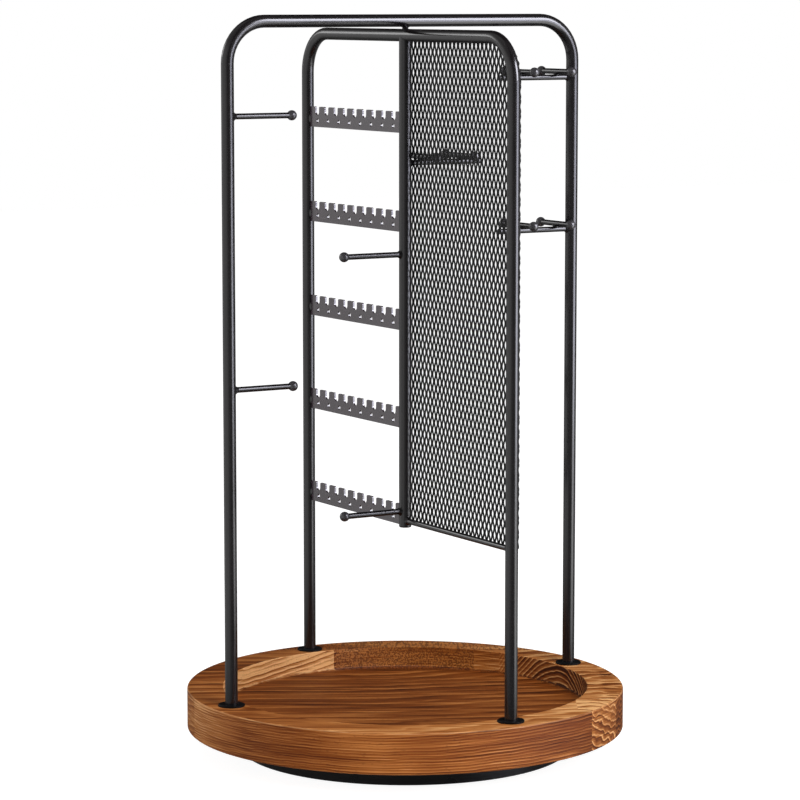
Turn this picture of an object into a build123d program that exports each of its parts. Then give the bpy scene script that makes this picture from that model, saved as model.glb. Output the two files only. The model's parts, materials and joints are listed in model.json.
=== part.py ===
from build123d import *
import math
import os

# A revolving jewelry stand in millimetres. +Z is up, the origin is on the ground under the turning
# axis, and the drawn heights are taken from the ground. The pegs are towards -X, the hangers
# towards +X, the earring strips towards +Y and the mesh towards -Y.

# Turntable disc and its feet
DISC_DIAMETER = 174.6
DISC_HEIGHT = 11.5
DISC_FLOOR = 3.0
DISC_EDGE = 0.6
FOOT_DIAMETER = 14.0
FOOT_THICKNESS = 2.0
FOOT_SEAT_DEPTH = 1.0
FOOT_FROM_RIM = 13.0
FOOT_COUNT = 4

# Ball bearing between the disc and the tray
BALL_CIRCLE_RADIUS = 50.0
BEARING_BALL_DIAMETER = 4.0
BEARING_BALL_COUNT = 24
RING_WIDTH = 9.2
RING_GAP = 1.6
RING_STEP = 0.5
CAGE_THICKNESS = 0.8
CAGE_HEIGHT = 5.0
TURNING_GAP = 0.5

# Tray
TRAY_DIAMETER = 230.0
TRAY_THICKNESS = 21.3
RECESS_DEPTH = 11.5
TRAY_EDGE = 1.0
RECESS_LIP = 0.5
RECESS_CORNER = 1.2

# Bent tube arches, their collars and the centre post
TUBE_DIAMETER = 6.5
TUBE_WALL = 0.8
BEND_RADIUS = 21.0
COLLAR_DIAMETER = 13.7
COLLAR_THICKNESS = 1.0
COLLAR_EDGE = 0.3
COLLAR_FROM_RIM = 4.65
COLLAR_FROM_RECESS = 0.65
LOWER_BAR_ABOVE_TRAY = 340.7
CROSSING_SPACE = 1.0
CROSSING_WELD_DIAMETER = 3.6
POST_END_ABOVE_TRAY = 83.9
PLUG_CAP_THICKNESS = 1.2
PLUG_STEM_LENGTH = 8.0
PLUG_ROUNDING = 0.7

# Earring strips
STRIP_COUNT = 5
STRIP_HEIGHT = 11.0
STRIP_THICKNESS = 1.0
LOWEST_STRIP_ABOVE_POST_END = 0.8
HIGHEST_STRIP_BELOW_BAR = 50.4
NOTCH_WIDTH = 4.0
NOTCH_DEPTH = 4.6
NOTCH_PITCH = 10.15
HOLE_DIAMETER = 2.4
HOLE_PITCH = 11.5
HOLE_RISE = 3.4
STRIP_END = 3.0
TOOTH_ROUNDING = 0.8

# Expanded metal panel and the rod along its lower edge
MESH_THICKNESS = 1.0
MESH_PAST_LEG = 1.0
MESH_HALF_PITCHES_ACROSS = 20
MESH_HALF_PITCHES_UP = 27
MESH_STRAND = 1.8
MESH_EDGE = 0.8
MESH_ROD_ABOVE_POST_END = 3.55

# Rods and balls of the pegs and hooks
ROD_DIAMETER = 3.0
ROD_EDGE = 0.3
BALL_DIAMETER = 5.2
PEG_REACH = 36.6
PEG_BELOW_BAR = (39.9, 113.2, 178.0)
LOWEST_PEG_ABOVE_POST_END = 8.6
HANGER_REACH = 46.0
HANGER_BELOW_BAR = (22.7, 65.7, 103.5)
HOOK_FROM_TUBE = (10.0, 33.4)
HOOK_REACH = 14.5

# Screws, bolts and threaded bushes
SCREW_DIAMETER = 3.0
SCREW_HEAD_DIAMETER = 5.6
SCREW_SLOT_WIDTH = 0.6
SCREW_SLOT_DEPTH = 0.8
SCREW_COUNT = 4
BASE_SCREW_LENGTH = 8.0
TRAY_SCREW_LENGTH = 15.0
BOLT_DIAMETER = 3.0
BOLT_LENGTH = 30.0
BOLT_HEAD_DIAMETER = 5.5
BOLT_HEAD_HEIGHT = 2.4
BOLT_SOCKET = 2.5
BOLT_SOCKET_DEPTH = 1.4
WASHER_DIAMETER = 7.0
WASHER_THICKNESS = 0.5
BOLT_SEAT_DEPTH = 5.0
INSERT_LENGTH = 14.0

# Clearances
WELD_GAP = 0.05
BORE_CLEARANCE = 0.05
BALL_CLEARANCE = 0.05
SCREW_CLEARANCE = 0.1
SEAT_CLEARANCE = 0.5
POCKET_CLEARANCE = 1.5
TIP_SPACE = 0.5

# Heights from the ground
disc_bottom = FOOT_THICKNESS - FOOT_SEAT_DEPTH
disc_top = disc_bottom + DISC_HEIGHT
pocket_floor = disc_bottom + DISC_FLOOR
tray_bottom = disc_top + TURNING_GAP
tray_top = tray_bottom + TRAY_THICKNESS
collar_top = tray_top + COLLAR_THICKNESS
lower_bar = tray_top + LOWER_BAR_ABOVE_TRAY
upper_bar = lower_bar + TUBE_DIAMETER + CROSSING_SPACE
post_end = tray_top + POST_END_ABOVE_TRAY
mesh_rod_height = post_end + MESH_ROD_ABOVE_POST_END
ring_height = tray_bottom - pocket_floor - RING_STEP
ball_height = (pocket_floor + tray_bottom) / 2
bolt_seat = tray_bottom + BOLT_SEAT_DEPTH
recess_floor = tray_top - RECESS_DEPTH

# Radii from the turning axis, and of what is round
tube_radius = TUBE_DIAMETER / 2
tube_bore = tube_radius - TUBE_WALL
rod_radius = ROD_DIAMETER / 2
leg_radius = TRAY_DIAMETER / 2 - COLLAR_FROM_RIM - COLLAR_DIAMETER / 2
recess_radius = leg_radius - COLLAR_DIAMETER / 2 - COLLAR_FROM_RECESS
inner_ring_outside = BALL_CIRCLE_RADIUS - RING_GAP / 2
outer_ring_inside = BALL_CIRCLE_RADIUS + RING_GAP / 2
inner_screw_circle = inner_ring_outside - RING_WIDTH / 2
outer_screw_circle = outer_ring_inside + RING_WIDTH / 2
pocket_radius = outer_ring_inside + RING_WIDTH + POCKET_CLEARANCE
foot_circle = DISC_DIAMETER / 2 - FOOT_FROM_RIM
groove_radius = BEARING_BALL_DIAMETER / 2 + BALL_CLEARANCE
washer_seat_radius = WASHER_DIAMETER / 2 + SEAT_CLEARANCE

# The strips and the mesh fill the space between the post and a leg
space_middle = leg_radius / 2
strip_length = leg_radius - 2 * (tube_radius + WELD_GAP)
mesh_width = leg_radius + MESH_PAST_LEG
mesh_height = lower_bar - mesh_rod_height

LEG_COUNT = 4
HALF_TURN = 180
COUNTERSINK_ANGLE = 90
DOWN = (0, 0, -1)


def save(piece, name):
    """Name a finished piece and write it."""
    piece.part.label = name
    export_step(piece.part, f"parts/{name}.step")


def fitting_count(length, size, pitch):
    """How many cuts of one size stand at the pitch within a strip's length."""
    return math.floor((length - size - 2 * STRIP_END) / pitch) + 1


def ring(plane, inside, outside, height):
    """Extrude a flat ring from the plane into the part being built."""
    with BuildSketch(plane) as section:
        Circle(outside)
        Circle(inside, mode=Mode.SUBTRACT)
    extrude(section.sketch, amount=height)


def ball_groove():
    """Cut the track that the bearing's balls run in."""
    with BuildSketch(Plane.XZ) as section:
        with Locations((BALL_CIRCLE_RADIUS, ball_height)):
            Circle(groove_radius)
    revolve(section.sketch, axis=Axis.Z, mode=Mode.SUBTRACT)


def countersunk_screws(face_height, circle_radius, length):
    """Screws on a circle, their heads flush with a downward face at the height given."""
    head = SCREW_HEAD_DIAMETER / 2
    shank = SCREW_DIAMETER / 2
    top = (Align.CENTER, Align.CENTER, Align.MAX)
    with BuildPart(Plane(origin=(0, 0, face_height), z_dir=DOWN)) as screws:
        with PolarLocations(circle_radius, SCREW_COUNT):
            Cylinder(shank, length, align=top)
            Cone(shank, head, head - shank, align=top)
            Box(head, SCREW_SLOT_WIDTH, SCREW_SLOT_DEPTH, align=top, mode=Mode.SUBTRACT)
            Box(SCREW_SLOT_WIDTH, head, SCREW_SLOT_DEPTH, align=top, mode=Mode.SUBTRACT)
    return screws


def arch(plane, top):
    """A bent tube on two collars, drawn in an upright plane, its bar's axis at the height top."""
    with BuildPart() as tube:
        with BuildLine(plane) as path:
            FilletPolyline(
                (-leg_radius, collar_top),
                (-leg_radius, top),
                (leg_radius, top),
                (leg_radius, collar_top),
                radius=BEND_RADIUS,
            )
        with BuildSketch(Plane(origin=path.line @ 0, z_dir=path.line % 0)):
            Circle(tube_radius)
            Circle(tube_bore, mode=Mode.SUBTRACT)
        sweep(path=path.line)
    return tube


def cope(axis_plane, length):
    """Cut the part being built to the round of a tube that runs along the plane's normal."""
    with BuildSketch(axis_plane) as section:
        Circle(tube_radius + WELD_GAP)
    extrude(section.sketch, amount=length, both=True, mode=Mode.SUBTRACT)


def side_rod(root, side, height, reach):
    """A rod that stands out along X from an upright tube at x = root, coped to that tube."""
    with BuildPart() as rod:
        with BuildSketch(Plane(origin=(root, 0, height), z_dir=(side, 0, 0))):
            Circle(rod_radius)
        extrude(amount=reach)
        cope(Plane.XY.offset(height).move(Location((root, 0, 0))), ROD_DIAMETER)
    return rod


def end_ball(centre, towards):
    """A ball drilled to sit on the end of a rod that arrives in the direction given."""
    with BuildPart() as ball:
        with Locations(centre):
            Sphere(BALL_DIAMETER / 2)
        entry = Vector(centre) - Vector(towards) * BALL_DIAMETER / 2
        with Locations(Plane(origin=entry, z_dir=-Vector(towards))):
            Hole(rod_radius + BORE_CLEARANCE, depth=BALL_DIAMETER / 2 + BORE_CLEARANCE)
    return ball


def earring_strip(bottom):
    """A strip with open notches along its top and small holes below them."""
    row_middle = (space_middle, bottom + STRIP_HEIGHT)
    notch_count = fitting_count(strip_length, NOTCH_WIDTH, NOTCH_PITCH)
    hole_count = fitting_count(strip_length, HOLE_DIAMETER, HOLE_PITCH)
    notch_round = NOTCH_WIDTH / 2
    with BuildPart() as strip:
        with BuildSketch(Plane.YZ.offset(-STRIP_THICKNESS / 2)) as outline:
            with Locations((space_middle, bottom)):
                Rectangle(strip_length, STRIP_HEIGHT, align=(Align.CENTER, Align.MIN))
            with Locations(row_middle):
                with GridLocations(NOTCH_PITCH, 0, notch_count, 1):
                    Rectangle(
                        NOTCH_WIDTH,
                        NOTCH_DEPTH - notch_round,
                        align=(Align.CENTER, Align.MAX),
                        mode=Mode.SUBTRACT,
                    )
                    with Locations((0, notch_round - NOTCH_DEPTH)):
                        Circle(notch_round, mode=Mode.SUBTRACT)
            with Locations((space_middle, bottom + HOLE_RISE)):
                with GridLocations(HOLE_PITCH, 0, hole_count, 1):
                    Circle(HOLE_DIAMETER / 2, mode=Mode.SUBTRACT)
            fillet(outline.vertices().group_by(Axis.Y)[-1], TOOTH_ROUNDING)
        extrude(amount=STRIP_THICKNESS)
    return strip


def mesh_outline(inset):
    """The mesh's outer edge, drawn further in by the inset and rounded where the arch bends."""
    with BuildSketch() as outline:
        with Locations((-inset, mesh_rod_height + inset)):
            Rectangle(
                mesh_width - 2 * inset,
                mesh_height - 2 * inset,
                align=(Align.MAX, Align.MIN),
            )
        corner = outline.vertices().sort_by_distance((-mesh_width, lower_bar))[0]
        fillet(corner, BEND_RADIUS + MESH_PAST_LEG - inset)
    return outline.sketch


def mesh_gaps():
    """Staggered diamond gaps over the mesh, cut off at its edge."""
    half_across = mesh_width / MESH_HALF_PITCHES_ACROSS
    half_up = mesh_height / MESH_HALF_PITCHES_UP
    strand_share = MESH_STRAND / 2 * math.hypot(half_across, half_up) / (half_across * half_up)
    gap_x = half_across * (1 - strand_share)
    gap_y = half_up * (1 - strand_share)
    centres = [
        (-column * half_across, mesh_rod_height + row * half_up)
        for column in range(MESH_HALF_PITCHES_ACROSS + 1)
        for row in range(MESH_HALF_PITCHES_UP + 1)
        if (column + row) % 2
    ]
    with BuildSketch() as diamonds:
        with Locations(*centres):
            Polygon((gap_x, 0), (0, gap_y), (-gap_x, 0), (0, -gap_y), align=None)
        add(mesh_outline(MESH_EDGE), mode=Mode.INTERSECT)
    return diamonds.sketch


os.makedirs("parts", exist_ok=True)

# Turntable disc: a pocket in its top holds the bearing. The access hole reaches the tray's screws.
with BuildPart() as base_disc:
    with BuildSketch(Plane.XY.offset(disc_bottom)):
        Circle(DISC_DIAMETER / 2)
    extrude(amount=DISC_HEIGHT)
    chamfer(base_disc.edges().filter_by(GeomType.CIRCLE), DISC_EDGE)
    with BuildSketch(Plane.XY.offset(disc_top)):
        Circle(pocket_radius)
    extrude(amount=pocket_floor - disc_top, mode=Mode.SUBTRACT)
    with Locations(Plane(origin=(0, 0, disc_bottom), z_dir=DOWN)):
        with PolarLocations(inner_screw_circle, SCREW_COUNT):
            CounterSinkHole(
                SCREW_DIAMETER / 2 + SCREW_CLEARANCE,
                SCREW_HEAD_DIAMETER / 2 + SCREW_CLEARANCE,
                counter_sink_angle=COUNTERSINK_ANGLE,
            )
        with PolarLocations(outer_screw_circle, 1):
            Hole(SCREW_HEAD_DIAMETER / 2 + SEAT_CLEARANCE)
        with PolarLocations(foot_circle, FOOT_COUNT, start_angle=HALF_TURN / FOOT_COUNT):
            Hole(FOOT_DIAMETER / 2 + BORE_CLEARANCE, depth=FOOT_SEAT_DEPTH)
save(base_disc, "base_disc")

with BuildPart() as rubber_feet:
    with PolarLocations(foot_circle, FOOT_COUNT, start_angle=HALF_TURN / FOOT_COUNT):
        Cylinder(FOOT_DIAMETER / 2, FOOT_THICKNESS, align=(Align.CENTER, Align.CENTER, Align.MIN))
save(rubber_feet, "rubber_feet")

with BuildPart() as bearing_inner_ring:
    inner_ring_base = Plane.XY.offset(pocket_floor)
    ring(inner_ring_base, inner_ring_outside - RING_WIDTH, inner_ring_outside, ring_height)
    ball_groove()
    with Locations(Plane(origin=(0, 0, pocket_floor), z_dir=DOWN)):
        with PolarLocations(inner_screw_circle, SCREW_COUNT):
            Hole(SCREW_DIAMETER / 2 + BORE_CLEARANCE, depth=BASE_SCREW_LENGTH - DISC_FLOOR + TIP_SPACE)
save(bearing_inner_ring, "bearing_inner_ring")

with BuildPart() as bearing_outer_ring:
    outer_ring_base = Plane.XY.offset(pocket_floor + RING_STEP)
    ring(outer_ring_base, outer_ring_inside, outer_ring_inside + RING_WIDTH, ring_height)
    ball_groove()
    with Locations(Plane(origin=(0, 0, pocket_floor + RING_STEP), z_dir=DOWN)):
        with PolarLocations(outer_screw_circle, SCREW_COUNT):
            CounterSinkHole(
                SCREW_DIAMETER / 2 + SCREW_CLEARANCE,
                SCREW_HEAD_DIAMETER / 2 + SCREW_CLEARANCE,
                counter_sink_angle=COUNTERSINK_ANGLE,
            )
save(bearing_outer_ring, "bearing_outer_ring")

with BuildPart() as bearing_cage:
    cage_base = Plane.XY.offset(ball_height - CAGE_HEIGHT / 2)
    cage_inside = BALL_CIRCLE_RADIUS - CAGE_THICKNESS / 2
    ring(cage_base, cage_inside, cage_inside + CAGE_THICKNESS, CAGE_HEIGHT)
    with Locations((0, 0, ball_height)):
        with PolarLocations(BALL_CIRCLE_RADIUS, BEARING_BALL_COUNT):
            Cylinder(groove_radius, RING_GAP, rotation=(0, 90, 0), mode=Mode.SUBTRACT)
save(bearing_cage, "bearing_cage")

with BuildPart(Plane.XY.offset(ball_height)) as bearing_balls:
    with PolarLocations(BALL_CIRCLE_RADIUS, BEARING_BALL_COUNT):
        Sphere(BEARING_BALL_DIAMETER / 2)
save(bearing_balls, "bearing_balls")

save(countersunk_screws(disc_bottom, inner_screw_circle, BASE_SCREW_LENGTH), "base_screws")
save(
    countersunk_screws(pocket_floor + RING_STEP, outer_screw_circle, TRAY_SCREW_LENGTH),
    "tray_screws",
)

# Tray: a turned wooden disc with a round recess. The bolts of the legs come through its rim.
tray_screw_tip = pocket_floor + RING_STEP + TRAY_SCREW_LENGTH
with BuildPart() as tray:
    with BuildSketch(Plane.XZ) as tray_section:
        with BuildLine():
            Polyline(
                (0, tray_bottom),
                (TRAY_DIAMETER / 2, tray_bottom),
                (TRAY_DIAMETER / 2, tray_top),
                (recess_radius, tray_top),
                (recess_radius, recess_floor),
                (0, recess_floor),
                close=True,
            )
        make_face()
        fillet(tray_section.vertices().group_by(Axis.X)[-1], TRAY_EDGE)
        lip_corner = tray_section.vertices().sort_by_distance((recess_radius, tray_top))[0]
        fillet(lip_corner, RECESS_LIP)
        floor_corner = tray_section.vertices().sort_by_distance((recess_radius, recess_floor))[0]
        fillet(floor_corner, RECESS_CORNER)
    revolve(axis=Axis.Z)
    with Locations(Plane(origin=(0, 0, tray_bottom), z_dir=DOWN)):
        with PolarLocations(leg_radius, LEG_COUNT):
            CounterBoreHole(
                BOLT_DIAMETER / 2 + SCREW_CLEARANCE, washer_seat_radius, BOLT_SEAT_DEPTH
            )
        with PolarLocations(outer_screw_circle, SCREW_COUNT):
            Hole(SCREW_DIAMETER / 2 + BORE_CLEARANCE, depth=tray_screw_tip - tray_bottom + TIP_SPACE)
save(tray, "tray")

# Collars, and what fastens each leg to the tray
LEGS = {"hanger": (1, 0), "strip": (0, 1), "peg": (-1, 0), "mesh": (0, -1)}
for side_name, (x, y) in LEGS.items():
    with BuildPart() as collar:
        with BuildSketch(Plane.XY.offset(tray_top).move(Location((leg_radius * x, leg_radius * y)))):
            Circle(COLLAR_DIAMETER / 2)
            Circle(BOLT_DIAMETER / 2 + SCREW_CLEARANCE, mode=Mode.SUBTRACT)
        extrude(amount=COLLAR_THICKNESS)
        chamfer(collar.faces().sort_by(Axis.Z)[-1].outer_wire().edges(), COLLAR_EDGE)
    save(collar, f"collar_{side_name}_leg")

with BuildPart(Plane.XY.offset(collar_top)) as leg_inserts:
    with PolarLocations(leg_radius, LEG_COUNT):
        upwards = (Align.CENTER, Align.CENTER, Align.MIN)
        Cylinder(tube_bore - BORE_CLEARANCE, INSERT_LENGTH, align=upwards)
        Cylinder(
            BOLT_DIAMETER / 2 + BORE_CLEARANCE, INSERT_LENGTH, align=upwards, mode=Mode.SUBTRACT
        )
save(leg_inserts, "leg_inserts")

with BuildPart(Plane.XY.offset(bolt_seat - WASHER_THICKNESS)) as leg_bolt_washers:
    with PolarLocations(leg_radius, LEG_COUNT):
        Cylinder(WASHER_DIAMETER / 2, WASHER_THICKNESS, align=upwards)
        Cylinder(
            BOLT_DIAMETER / 2 + SCREW_CLEARANCE,
            WASHER_THICKNESS,
            align=upwards,
            mode=Mode.SUBTRACT,
        )
save(leg_bolt_washers, "leg_bolt_washers")

with BuildPart(Plane.XY.offset(bolt_seat - WASHER_THICKNESS)) as leg_bolts:
    downwards = (Align.CENTER, Align.CENTER, Align.MAX)
    with PolarLocations(leg_radius, LEG_COUNT):
        Cylinder(BOLT_DIAMETER / 2, BOLT_LENGTH, align=upwards)
        Cylinder(BOLT_HEAD_DIAMETER / 2, BOLT_HEAD_HEIGHT, align=downwards)
    with BuildSketch(Plane.XY.offset(bolt_seat - WASHER_THICKNESS - BOLT_HEAD_HEIGHT)):
        with PolarLocations(leg_radius, LEG_COUNT):
            RegularPolygon(BOLT_SOCKET / 2, 6, major_radius=False)
    extrude(amount=BOLT_SOCKET_DEPTH, mode=Mode.SUBTRACT)
save(leg_bolts, "leg_bolts")

# The two arches cross with a small space between their bars, which a weld bead bridges
save(arch(Plane.XZ, upper_bar), "peg_arch")
save(arch(Plane.YZ, lower_bar), "panel_arch")
upper_bar_axis = Plane(origin=(0, 0, upper_bar), z_dir=(1, 0, 0))
lower_bar_axis = Plane(origin=(0, 0, lower_bar), z_dir=(0, 1, 0))

with BuildPart() as crossing_weld:
    with BuildSketch(Plane.XY.offset(lower_bar)):
        Circle(CROSSING_WELD_DIAMETER / 2)
    extrude(amount=upper_bar - lower_bar)
    cope(upper_bar_axis, TUBE_DIAMETER)
    cope(lower_bar_axis, TUBE_DIAMETER)
save(crossing_weld, "crossing_weld")

with BuildPart() as centre_post:
    post_tube_end = post_end + PLUG_CAP_THICKNESS
    ring(Plane.XY.offset(post_tube_end), tube_bore, tube_radius, lower_bar - post_tube_end)
    cope(lower_bar_axis, TUBE_DIAMETER)
save(centre_post, "centre_post")

with BuildPart() as post_plug:
    with BuildSketch(Plane.XY.offset(post_end)):
        Circle(tube_radius)
    extrude(amount=PLUG_CAP_THICKNESS)
    fillet(post_plug.edges().sort_by(Axis.Z)[0], PLUG_ROUNDING)
    with BuildSketch(Plane.XY.offset(post_tube_end)):
        Circle(tube_bore - BORE_CLEARANCE)
    extrude(amount=PLUG_STEM_LENGTH)
save(post_plug, "post_plug")

# Earring strips, evenly spaced from the post's lower end up
lowest_strip = post_end + LOWEST_STRIP_ABOVE_POST_END
highest_strip = lower_bar - HIGHEST_STRIP_BELOW_BAR
for number in range(STRIP_COUNT):
    rise = (highest_strip - lowest_strip) * number / (STRIP_COUNT - 1)
    save(earring_strip(lowest_strip + rise), f"earring_strip_{number + 1}")

# Pegs: the first and third on the leg, the second and lowest on the post, all pointing between
peg_heights = [lower_bar - drop for drop in PEG_BELOW_BAR]
peg_heights.append(post_end + LOWEST_PEG_ABOVE_POST_END)
for number, height in enumerate(peg_heights, start=1):
    root, side = (-leg_radius, 1) if number % 2 else (0, -1)
    save(side_rod(root, side, height, PEG_REACH), f"bracelet_peg_{number}")
    ball_centre = (root + side * PEG_REACH, 0, height)
    save(end_ball(ball_centre, (side, 0, 0)), f"bracelet_ball_{number}")

# Hangers: the first and third on the leg, the second on the post. Each carries two cross hooks.
hanger_heights = [lower_bar - drop for drop in HANGER_BELOW_BAR]
hook_number = 0
for number, height in enumerate(hanger_heights, start=1):
    root, side = (leg_radius, -1) if number % 2 else (0, 1)
    hanger_rod = side_rod(root, side, height, HANGER_REACH)
    save(hanger_rod, f"hanger_rod_{number}")
    for offset in HOOK_FROM_TUBE:
        hook_number += 1
        hook_x = root + side * offset
        hook_height = height + ROD_DIAMETER + WELD_GAP
        with BuildPart() as hook_rod:
            with BuildSketch(Plane(origin=(hook_x, 0, hook_height), z_dir=(0, 1, 0))):
                Circle(rod_radius)
            extrude(amount=HOOK_REACH, both=True)
        save(hook_rod, f"hook_rod_{hook_number}")
        for ball_name, y in (("front", -1), ("back", 1)):
            ball_centre = (hook_x, y * HOOK_REACH, hook_height)
            save(end_ball(ball_centre, (0, y, 0)), f"hook_ball_{hook_number}_{ball_name}")

# Mesh: it lies against the hanger side of the post, the bar and the leg, as one holed sheet. Its
# edge is cut out round the hanger rod that stands on the post.
with BuildPart() as mesh_panel:
    with BuildSketch(Plane.YZ.offset(tube_radius + WELD_GAP)):
        add(mesh_outline(0))
        add(mesh_gaps(), mode=Mode.SUBTRACT)
        with Locations((0, hanger_heights[1])):
            Circle(rod_radius + SEAT_CLEARANCE, mode=Mode.SUBTRACT)
    extrude(amount=MESH_THICKNESS)
save(mesh_panel, "mesh_panel")

with BuildPart() as mesh_rod:
    with BuildSketch(Plane(origin=(0, 0, mesh_rod_height), z_dir=(0, -1, 0))):
        Circle(rod_radius)
    extrude(amount=leg_radius)
    cope(Plane.XY.offset(mesh_rod_height), ROD_DIAMETER)
    cope(Plane.XY.offset(mesh_rod_height).move(Location((0, -leg_radius, 0))), ROD_DIAMETER)
save(mesh_rod, "mesh_rod")
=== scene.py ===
import itertools
import json
import math
from types import SimpleNamespace

import bmesh
import bpy
from mathutils import Matrix, Vector

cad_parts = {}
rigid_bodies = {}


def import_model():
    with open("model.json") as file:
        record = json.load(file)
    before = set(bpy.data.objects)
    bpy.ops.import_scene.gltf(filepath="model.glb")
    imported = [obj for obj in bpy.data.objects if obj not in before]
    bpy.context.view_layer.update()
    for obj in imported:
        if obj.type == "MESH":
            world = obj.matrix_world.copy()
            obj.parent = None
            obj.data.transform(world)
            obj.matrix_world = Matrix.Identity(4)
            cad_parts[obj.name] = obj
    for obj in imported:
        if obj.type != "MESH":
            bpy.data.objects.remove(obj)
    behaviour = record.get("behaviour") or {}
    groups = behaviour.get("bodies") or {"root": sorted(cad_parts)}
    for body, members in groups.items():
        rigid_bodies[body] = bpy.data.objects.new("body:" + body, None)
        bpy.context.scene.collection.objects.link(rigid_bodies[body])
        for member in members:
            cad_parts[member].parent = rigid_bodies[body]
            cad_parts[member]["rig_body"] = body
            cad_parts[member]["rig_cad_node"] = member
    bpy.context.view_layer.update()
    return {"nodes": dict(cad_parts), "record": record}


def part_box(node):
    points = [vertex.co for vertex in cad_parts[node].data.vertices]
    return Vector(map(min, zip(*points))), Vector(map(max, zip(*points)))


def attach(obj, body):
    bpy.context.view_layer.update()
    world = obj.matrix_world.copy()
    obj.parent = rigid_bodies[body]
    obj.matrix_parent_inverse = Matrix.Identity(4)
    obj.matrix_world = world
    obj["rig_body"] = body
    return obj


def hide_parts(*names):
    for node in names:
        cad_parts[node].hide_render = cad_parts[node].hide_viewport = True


# The looks of a revolving jewelry stand: satin black tube arches, rods, strips and expanded metal
# over a round tray of glued-up, stained wood. Pieces are measured in metres, as in the packed
# frame, and the patterns of their materials in millimetres.

MM = 0.001

# Where the photograph was taken from
CAMERA_PLACE = (-0.8481, -1.4227, 0.3949)
CAMERA_AZIMUTH = -30.706
CAMERA_TILT = -7.206
LENS = 143.7

# Expanded metal: half a diamond across and up, how far its sides are rounded, the strand between
# two openings and its lean, and the outline of the sheet
DIAMOND_HALF_ACROSS = 1.90 * MM
DIAMOND_HALF_UP = 3.6 * MM
DIAMOND_ROUNDING = 0.7 * MM
STRAND_WIDTH = 0.84 * MM
STRAND_LEAN = 0.20 * MM
SHEET_THICKNESS = 0.35 * MM
SHEET_FROM_LEG = 0.3 * MM
ROD_HOLE_RADIUS = 2.4 * MM
CORNER_RADIUS = 22 * MM
CORNER_CUTS = 7

# The coat rounds the edges of the strips and collars
STRIP_ROUNDING = 0.16 * MM
COLLAR_ROUNDING = 0.3 * MM
SHARP_EDGE = math.radians(40)

# The tray, in millimetres: its radius and its recess's, the height of its middle, and the joints
# between its boards, across the grain and at its right end
TRAY_RADIUS = 115.0
RECESS_RADIUS = 96.0
TRAY_MIDDLE = 23.7
TOP_ABOVE_MIDDLE = 10.6
NARROW_JOINT, FRONT_JOINT, BACK_JOINT = -64.86, -36.0, 87.5
END_JOINT = 88.0

# Turns the stand's axes to the photograph's width and depth. The grain runs along the width
PHOTO_TURN = -math.radians(CAMERA_AZIMUTH)

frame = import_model()
nodes = frame["nodes"]

# The tubes are alike, and the legs' inner faces lie a tube within the arches' outer faces
TUBE_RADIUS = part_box("centre_post")[1].x
LEG_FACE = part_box("panel_arch")[1].y - 2 * TUBE_RADIUS


def linear(code):
    """An sRGB hex colour as linear red, green, blue and alpha."""
    parts = [int(code[at : at + 2], 16) / 255 for at in (1, 3, 5)]
    return tuple(c / 12.92 if c <= 0.04045 else ((c + 0.055) / 1.055) ** 2.4 for c in parts) + (1.0,)


def greys(*stops):
    """Ramp stops of plain levels."""
    return [(place, (level, level, level, 1)) for place, level in stops]


def two_tones(first, dark, last, light):
    """Ramp stops from a dark hex colour to a light one."""
    return [(first, linear(dark)), (last, linear(light))]


def wire(tree, kind, inputs=None, out=0, stops=None, **settings):
    """Adds a node with its settings, links and ramp stops, and returns one of its outputs."""
    node = tree.nodes.new(kind)
    for name, value in settings.items():
        setattr(node, name, value)
    for name, value in (inputs or {}).items():
        if isinstance(value, bpy.types.NodeSocket):
            tree.links.new(value, node.inputs[name])
        else:
            node.inputs[name].default_value = value
    if stops:
        while len(node.color_ramp.elements) < len(stops):
            node.color_ramp.elements.new(1.0)
        for element, (place, colour) in zip(node.color_ramp.elements, stops):
            element.position = place
            element.color = colour
    return node.outputs[out] if len(node.outputs) else node


def new_material(name):
    """An empty material, its node tree and the place on its surface in millimetres, so that a
    noise's Scale is its number of grains per millimetre."""
    material = bpy.data.materials.new(name)
    material.use_nodes = True
    tree = material.node_tree
    tree.nodes.clear()
    place = wire(tree, "ShaderNodeTexCoord", out="Object")
    place = wire(tree, "ShaderNodeMapping", {"Vector": place, "Scale": (1000, 1000, 1000)})
    return material, tree, place


def finish_material(tree, inputs):
    """Adds the surface shader with these inputs and the output."""
    shader = wire(tree, "ShaderNodeBsdfPrincipled", inputs)
    wire(tree, "ShaderNodeOutputMaterial", {"Surface": shader})


def from_axis(tree, place):
    """The distance of a place from the turning axis."""
    flat = wire(tree, "ShaderNodeVectorMath", {0: place, 1: (1, 1, 0)}, operation="MULTIPLY")
    return wire(tree, "ShaderNodeVectorMath", {0: flat}, "Value", operation="LENGTH")


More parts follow.
